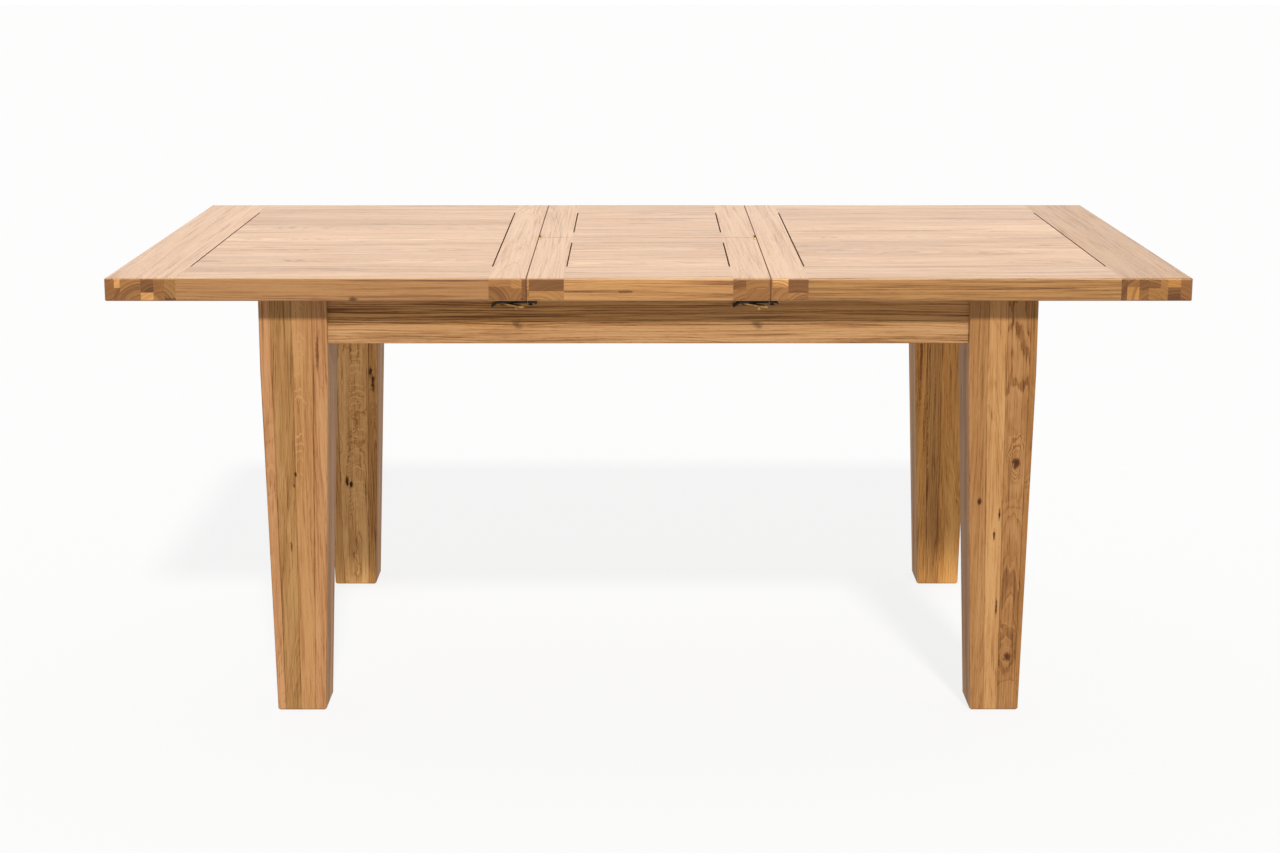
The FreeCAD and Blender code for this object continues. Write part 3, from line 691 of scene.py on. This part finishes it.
# Table top: several boards in each panel, one board in each rail and stile, blocks on the stiles' ends
# (tints are given with their spread, flaws with centre, half sizes and how dark they are)
MIXED_BOARDS = ("honey", "straw", "honey", "honey", "tan", "honey", "straw", "brown")
panel_flaws = {
    "left_panel": [
        ((-0.690, -0.120, top_z), (0.045, 0.010, 0.01), 0.35),
        ((-0.420, -0.090, top_z), (0.040, 0.008, 0.01), 0.35),
    ],
    "right_panel": [((0.335, -0.150, top_z), (0.045, 0.007, 0.01), 0.45)],
    "rear_leaf_panel": [((-0.010, 0.180, top_z), (0.050, 0.009, 0.01), 0.35)],
}
rail_flaws = {
    "left_front_rail": [((-0.489, -0.450, 0.739), (0.010, 0.010, 0.005), 0.8)],
    "front_leaf_edge_rail": [((-0.038, -0.450, 0.752), (0.016, 0.010, 0.003), 0.8)],
}
rail_edges = {"left": ("brown", 0.55), "right": ("ochre", 1.0), "leaf": ("gold", 0.70)}
plain_stile = ("tan", 0.35)
stile_tints = {"left_outer": ("tan", 0.5), "right_outer": ("brown", 1.27)}
stile_ends = {
    "left_outer": [
        (0.14, 1.00, "brown", "brown"),
        (0.08, 0.42, "cream", "brown"),
        (0.29, 1.00, "honey", "honey"),
        (0.18, 0.62, "umber", "cream"),
        (0.15, 0.72, "brown", "straw"),
        (0.16, 0.85, "olive", "umber"),
    ],
    "left_inner": [
        (0.60, 0.36, "honey", "brown"),
        (0.28, 0.44, "straw", "brown"),
        (0.12, 1.00, "umber", "umber"),
    ],
    "leaf_left": [
        (0.07, 1.00, "straw", "straw"),
        (0.93, 0.56, "umber", "straw"),
    ],
    "leaf_right": [
        (0.34, 0.50, "brown", "tan"),
        (0.60, 0.46, "tan", "brown"),
        (0.06, 1.00, "brown", "brown"),
    ],
    "right_inner": [
        (0.04, 1.00, "tan", "tan"),
        (0.42, 0.40, "cream", "honey"),
        (0.54, 0.64, "umber", "honey"),
    ],
    "right_outer": [
        (0.08, 1.00, "umber", "umber"),
        (0.17, 0.38, "brown", "gold"),
        (0.13, 0.52, "umber", "brown"),
        (0.17, 0.44, "brown", "ochre"),
        (0.10, 1.00, "ochre", "ochre"),
        (0.18, 0.40, "gold", "umber"),
        (0.17, 1.00, "brown", "brown"),
    ],
}


def dress_panel(panel, seed):
    """Boards of mixed tints side by side."""
    flaws = panel_flaws.get(panel, ())
    dress(top_oak(f"oak_{panel}", "x", seed, PANEL_BOARDS, MIXED_BOARDS, 0.8, flaws=flaws), panel)


def dress_rail(rail, seed, edge_tint):
    """One board, with a dark line where it joins the panel, not at the fold or the table's edge."""
    fold_reach = 0.01
    table_edge = 0.44
    low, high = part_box(rail)
    joints = [y for y in (low.y, high.y) if fold_reach < abs(y) < table_edge]
    flaws = rail_flaws.get(rail, ())
    finish = top_oak(f"oak_{rail}", "x", seed, RAIL_BOARD, ("honey",), 0.6,
                     flaws=flaws, joints=joints, edge_tint=edge_tint)
    dress(finish, rail)


def dress_stile(stile, seed, place):
    """One board with blocks on its ends, and painted shade where it meets the seam."""
    seam_reach = 0.001
    low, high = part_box(stile)
    seams = [x for x in (low.x, high.x) if abs(abs(x) - seam_x) < seam_reach]
    tint, spread = stile_tints.get(place, plain_stile)
    finish = top_oak(f"oak_{stile}", "y", seed, STILE_BOARD, (tint,), spread,
                     ends=(low.x, high.x, stile_ends[place]), seams=seams)
    dress(finish, stile)


# Every piece of the top has a seed of its own, so that no two boards are alike
seed = 3
for top in ("left", "right"):
    seed += 7
    dress_panel(f"{top}_panel", seed)
    for rail in (f"{top}_front_rail", f"{top}_rear_rail"):
        seed += 3
        dress_rail(rail, seed, rail_edges[top])
    for place in ("outer", "inner"):
        seed += 3
        dress_stile(f"{top}_{place}_stile", seed, f"{top}_{place}")
for half in ("front", "rear"):
    seed += 5
    dress_panel(f"{half}_leaf_panel", seed)
    for rail in (f"{half}_leaf_edge_rail", f"{half}_leaf_fold_rail"):
        seed += 3
        dress_rail(rail, seed, rail_edges["leaf"])
    for end in ("left", "right"):
        seed += 3
        dress_stile(f"{half}_leaf_{end}_stile", seed, f"leaf_{end}")

# Base: aprons of one board, and legs of staves, two of them with ray flecks
dress(apron_oak("oak_front_apron", "x", seed=5, ring=0.0042, contrast=1.0), "front_apron")
dress(apron_oak("oak_rear_apron", "x", seed=8, ring=0.0048, contrast=0.8), "rear_apron")
end_apron_oak = apron_oak("oak_end_aprons", "y", seed=13, ring=0.0045, contrast=0.9)
dress(end_apron_oak, "left_apron", "right_apron")
dress(leg_oak(
    "oak_front_left_leg", side_x=-1, side_y=-1, seed=21,
    front_staves=[(0.17, "pink", 0.3), (0.31, "olive", 0.5), (0.30, "honey", 0.3), (0.22, "pink", 0.45)],
    side_staves=[(0.20, "honey", 0.5), (0.30, "olive", 0.7), (0.30, "pink", 0.4), (0.20, "olive", 0.5)],
    flaws=[
        ((-0.601, -0.405, 0.427), (0.003, 0.02, 0.006), 0.9),
        ((-0.604, -0.405, 0.407), (0.002, 0.02, 0.004), 0.8),
        ((-0.558, -0.405, 0.640), (0.0035, 0.02, 0.045), 0.5),
        ((-0.612, -0.400, 0.300), (0.0030, 0.02, 0.014), 0.6),
    ],
    flecked={"low": 0.49, "high": 0.68, "low_z": 0.38, "strength": 0.75},
), "front_left_leg")
dress(leg_oak(
    "oak_front_right_leg", side_x=1, side_y=-1, seed=37,
    front_staves=[(0.10, "brown", 0.3), (0.34, "tan", 0.70), (0.28, "straw", 0.20), (0.28, "tan", 0.4)],
    side_staves=[(0.24, "honey", 0.5), (0.26, "brown", 0.8), (0.28, "olive", 0.4), (0.22, "honey", 0.6)],
    flaws=[
        ((0.626, -0.404, 0.447), (0.009, 0.02, 0.015), 0.75),
        ((0.622, -0.398, 0.100), (0.009, 0.02, 0.012), 0.7),
        ((0.566, -0.402, 0.380), (0.005, 0.02, 0.008), 0.8),
        ((0.601, -0.402, 0.356), (0.0025, 0.02, 0.014), 0.9),
        ((0.593, -0.402, 0.319), (0.0025, 0.02, 0.015), 0.9),
        ((0.601, -0.398, 0.190), (0.0025, 0.02, 0.020), 0.9),
    ],
), "front_right_leg")
# Rear legs: lighter tints on their front and back faces, painted light in place of fill light under the
# table
dress(leg_oak(
    "oak_rear_left_leg", side_x=-1, side_y=1, seed=52,
    front_staves=[(0.22, "gold", 0.6), (0.60, "blond_painted_fill", 1.0), (0.18, "gold", 0.9)],
    side_staves=[(0.30, "olive", 0.6), (0.40, "honey", 0.5), (0.30, "brown", 0.7)],
    flaws=[
        ((-0.614, 0.300, 0.222), (0.005, 0.03, 0.016), 1.0),
        ((-0.606, 0.300, 0.217), (0.006, 0.03, 0.009), 1.0),
        ((-0.556, 0.290, 0.433), (0.005, 0.02, 0.028), 0.9),
        ((-0.560, 0.290, 0.455), (0.006, 0.02, 0.015), 0.8),
        ((-0.609, 0.290, 0.305), (0.009, 0.02, 0.070), 0.42),
        ((-0.590, 0.290, 0.345), (0.010, 0.02, 0.030), 0.36),
    ],
    flecked={"low": 0.46, "high": 0.82, "low_z": 0.10, "strength": 0.40},
), "rear_left_leg")
dress(leg_oak(
    "oak_rear_right_leg", side_x=1, side_y=1, seed=66,
    front_staves=[(0.50, "amber_painted_fill", 0.5), (0.28, "gold", 1.2), (0.22, "amber_painted_fill", 0.8)],
    side_staves=[(0.34, "honey", 0.6), (0.36, "brown", 0.5), (0.30, "olive", 0.7)],
    flaws=[
        ((0.556, 0.290, 0.470), (0.0045, 0.02, 0.150), 0.44),
        ((0.566, 0.290, 0.330), (0.0035, 0.02, 0.120), 0.42),
        ((0.587, 0.290, 0.400), (0.0025, 0.02, 0.080), 0.42),
        ((0.570, 0.290, 0.140), (0.0045, 0.02, 0.100), 0.40),
    ],
), "rear_right_leg")


def named(*endings):
    """The CAD nodes whose names end in one of these ways."""
    return [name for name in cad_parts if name.endswith(endings)]


# Working parts under the top
lengthwise_beech = named("runner", "packer", "guide") + ["stow_bearer"]
dress(planed_beech("beech_runners_and_guides", "x", seed=4), *lengthwise_beech)
crosswise_beech = ["left_pivot_rail", "right_pivot_rail", "corner_blocks"]
dress(planed_beech("beech_cross_rails", "y", seed=9), *crosswise_beech)
brass = aged_brass("aged_brass")
bronzed = bronzed_steel("bronzed_steel")
zinc = bright_zinc("bright_zinc")
dress(brass, *named("lever", "hinge_plates", "hinge_links"))
dress(bronzed, *named("latch_plate", "latch_plates", "keeper", "keepers", "pivots"))
dress(zinc, "leg_bolts", "leg_nuts")
dress(stop_rubber("stop_rubber"), "left_buffers", "right_buffers")
dress(moulded_nylon("moulded_nylon"), "foot_glides")


def select_only(*pieces):
    """Selects these pieces and nothing else, and makes the first one active."""
    bpy.ops.object.select_all(action="DESELECT")
    for piece in pieces:
        piece.select_set(True)
    bpy.context.view_layer.objects.active = pieces[0]


def select_faces(piece, chosen):
    """Selects the faces of a piece in edit mode for which chosen(face) is true."""
    bpy.ops.mesh.select_mode(type="FACE")
    bpy.ops.mesh.select_all(action="DESELECT")
    bpy.ops.object.mode_set(mode="OBJECT")
    for face in piece.data.polygons:
        face.select = chosen(face)
    bpy.ops.object.mode_set(mode="EDIT")


def model_screw(name, radius, finish):
    """A flush screw head with a crowned rim and a cross recess, lying on the origin and facing down."""
    head_height = radius * 0.6
    rim = radius * 0.16
    crown = radius * 0.08
    recess_size = (radius * 1.16, radius * 0.26, radius * 0.5)
    bpy.ops.object.select_all(action="DESELECT")
    bpy.ops.mesh.primitive_cylinder_add(
        vertices=32, radius=radius, depth=head_height, location=(0, 0, head_height / 2),
    )
    screw = bpy.context.object
    screw.name = name
    bpy.ops.object.mode_set(mode="EDIT")
    select_faces(screw, lambda face: face.normal.z < -0.9)
    bpy.ops.mesh.inset(thickness=rim)
    bpy.ops.transform.translate(value=(0, 0, -crown))
    bpy.ops.object.mode_set(mode="OBJECT")
    bpy.ops.mesh.primitive_cube_add(size=1, location=(0, 0, 0))
    cross = bpy.context.object
    bpy.ops.object.mode_set(mode="EDIT")
    bpy.ops.transform.resize(value=recess_size)
    bpy.ops.mesh.duplicate()
    bpy.ops.transform.rotate(value=pi / 2, orient_axis="Z", center_override=(0, 0, 0))
    bpy.ops.object.mode_set(mode="OBJECT")
    select_only(screw)
    cut = screw.modifiers.new("cross recess", "BOOLEAN")
    cut.object = cross
    cut.use_self = True
    bpy.ops.object.modifier_apply(modifier=cut.name)
    bpy.data.objects.remove(cross)
    bpy.ops.object.transform_apply(location=True, rotation=True, scale=True)
    bpy.ops.object.shade_smooth_by_angle(angle=radians(35))
    screw.data.materials.append(finish)
    return screw


FACING = {
    "down": Matrix.Identity(4),
    "left": Matrix.Rotation(radians(90), 4, "Y"),
    "right": Matrix.Rotation(radians(-90), 4, "Y"),
}


def drive_screws(name, body, pattern, places):
    """Copies of one screw at places on a body, each with its own turn, joined into one piece."""
    first_turn = 17.0
    next_turn = 41.0
    copies = []
    for number, (place, side) in enumerate(places):
        copy = pattern.copy()
        copy.data = pattern.data.copy()
        bpy.context.scene.collection.objects.link(copy)
        turn = Matrix.Rotation(radians(first_turn + next_turn * number), 4, "Z")
        copy.data.transform(Matrix.Translation(Vector(place)) @ FACING[side] @ turn)
        copies.append(copy)
    select_only(*copies)
    bpy.ops.object.join()
    piece = bpy.context.object
    piece.name = name
    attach(piece, body)


# Screws: small dark ones in the latches, small brass ones in the hinges, zinc ones in the woodwork
latch_screw = model_screw("latch_screw", radius=0.0021, finish=bronzed)
hinge_screw = model_screw("hinge_screw", radius=0.0019, finish=brass)
wood_screw = model_screw("wood_screw", radius=0.0044, finish=zinc)

# Where they sit: latch screws are measured from the seam and the latch's middle, the others from the
# table's middle or in from an edge of their piece
latch_base_height = 0.0067
latch_strip_thickness = 0.0020
plate_z = under_z - latch_base_height - latch_strip_thickness
plate_screws_back = (0.010, 0.027)
keeper_screws_on = 0.010
latch_screws_off = (-0.0077, 0.0077)
hinge_screws_y = (0.0125, 0.0205)
hinge_low, hinge_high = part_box("front_hinge_plates")
pivot_low, pivot_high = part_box("leaf_pivots")
pivot_screws_x = (0.174, 0.188)
pivot_screws_in = 0.007
runner_screws_x = (0.235, 0.350, 0.470)
bearer_low, bearer_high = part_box("stow_bearer")
bearer_screws_off_end = 0.011
bearer_screws_in = 0.010


def plate_screws(seam, side):
    """Four screws in a latch's plate, left of its seam."""
    return [
        ((seam - back, side * (latch_y + off), plate_z), "down")
        for back in plate_screws_back for off in latch_screws_off
    ]


def keeper_screws(seam, side):
    """Two screws in a latch's keeper, right of its seam."""
    x = seam + keeper_screws_on
    return [((x, side * (latch_y + off), plate_z), "down") for off in latch_screws_off]


def hinge_screws(side):
    """Two screws in each hinge plate, on both side edges of one half of the leaf."""
    middle_z = (hinge_low.z + hinge_high.z) / 2
    return [
        ((end * hinge_high.x, side * y, middle_z), facing)
        for end, facing in ((-1, "left"), (1, "right")) for y in hinge_screws_y
    ]


def pivot_screws():
    """Four screws in each pivot block."""
    rows = (pivot_low.y + pivot_screws_in, pivot_high.y - pivot_screws_in)
    return [((end * x, y, pivot_low.z), "down") for end in (-1, 1) for x in pivot_screws_x for y in rows]


def runner_screws(top):
    """Three screws in each of the runners under one end top."""
    side = -1 if top == "left" else 1
    places = []
    for runner in (f"{top}_front_runner", f"{top}_rear_runner"):
        low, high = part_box(runner)
        middle_y = (low.y + high.y) / 2
        places += [((side * x, middle_y, low.z), "down") for x in runner_screws_x]
    return places


def bearer_screws():
    """Two screws in each end of the bearer."""
    x = bearer_high.x - bearer_screws_off_end
    rows = (bearer_low.y + bearer_screws_in, bearer_high.y - bearer_screws_in)
    return [((end * x, y, bearer_low.z), "down") for end in (-1, 1) for y in rows]


drive_screws("left_latch_screws", "left_top", latch_screw,
             plate_screws(-seam_x, -1) + plate_screws(-seam_x, 1))
drive_screws("right_keeper_screws", "right_top", latch_screw,
             keeper_screws(seam_x, -1) + keeper_screws(seam_x, 1))
for half, body, side in (("front", "leaf_front", -1), ("rear", "leaf_rear", 1)):
    drive_screws(f"{half}_leaf_latch_screws", body, latch_screw,
                 plate_screws(seam_x, side) + keeper_screws(-seam_x, side))
    drive_screws(f"{half}_hinge_screws", body, hinge_screw, hinge_screws(side))
drive_screws("pivot_block_screws", "leaf_rear", wood_screw, pivot_screws())
for top in ("left", "right"):
    drive_screws(f"{top}_runner_screws", f"{top}_top", wood_screw, runner_screws(top))
drive_screws("bearer_screws", "base", wood_screw, bearer_screws())
for pattern in (latch_screw, hinge_screw, wood_screw):
    bpy.data.objects.remove(pattern)

# Studio: a pale floor that glows a little, so that the table's shadow on it stays soft
floor_size = 60
floor_grey = 0.10
floor_glow = 0.83
bpy.ops.object.select_all(action="DESELECT")
bpy.ops.mesh.primitive_plane_add(size=floor_size, location=(0, 0, 0))
floor = bpy.context.object
floor.name = "studio_floor"
pale = Finish("pale_floor")
pale.shader.inputs["Emission Color"].default_value = grey(1.0)
pale.shader.inputs["Emission Strength"].default_value = floor_glow
pale.shader.inputs["Specular IOR Level"].default_value = 0.0
pale.shader.inputs["Base Color"].default_value = grey(floor_grey)
pale.shader.inputs["Roughness"].default_value = 0.9
floor.data.materials.append(pale.material)

# Key light from the front, a little to one side
key_height = radians(42)
key_swing = radians(9)
key = bpy.data.objects.new("key_light", bpy.data.lights.new("key_light", "SUN"))
key.data.energy = 3.82
key.data.angle = radians(6)
key.data.color = (1.0, 0.985, 0.96)
key.rotation_euler = (pi / 2 - key_height, 0, key_swing)
bpy.context.scene.collection.objects.link(key)

# Sky, brightest behind the table and along the horizon (from and to where, and from and to how bright)
sky_from_front_to_back = (-0.3, 0.5, 0.24, 1.30)
sky_from_horizon_up = (0.06, 0.12, 1.10, 0.0)
sky = bpy.data.worlds.new("studio_sky")
sky.use_nodes = True
sky_nodes = sky.node_tree.nodes
background = sky_nodes["Background"]
direction = sky_nodes.new("ShaderNodeTexCoord")
axes = sky_nodes.new("ShaderNodeSeparateXYZ")
behind = sky_nodes.new("ShaderNodeMapRange")
behind.interpolation_type = "SMOOTHSTEP"
horizon = sky_nodes.new("ShaderNodeMapRange")
for part, values in ((behind, sky_from_front_to_back), (horizon, sky_from_horizon_up)):
    for index, value in enumerate(values, 1):
        part.inputs[index].default_value = value
brighter = sky_nodes.new("ShaderNodeMath")
brighter.operation = "MAXIMUM"
for output, socket in (
    (direction.outputs["Generated"], axes.inputs[0]),
    (axes.outputs[1], behind.inputs[0]),
    (axes.outputs[2], horizon.inputs[0]),
    (behind.outputs[0], brighter.inputs[0]),
    (horizon.outputs[0], brighter.inputs[1]),
    (brighter.outputs[0], background.inputs["Strength"]),
):
    sky.node_tree.links.new(output, socket)
background.inputs["Color"].default_value = grey(1.0)
bpy.context.scene.world = sky
bpy.context.scene.view_settings.view_transform = "Standard"

# Camera at the photograph's view, from the middle of the front and a little above the top
camera_pitch = 0.185
camera_turn = -0.0007
lens = bpy.data.cameras.new("photo_camera")
lens.sensor_width = 36.0
lens.lens = 59.15
lens.shift_y = -0.09
camera = bpy.data.objects.new("photo_camera", lens)
camera.location = (-0.0165, -3.8737, 1.360)
camera.rotation_euler = (pi / 2 - camera_pitch, 0, camera_turn)
bpy.context.scene.collection.objects.link(camera)
bpy.context.scene.camera = camera
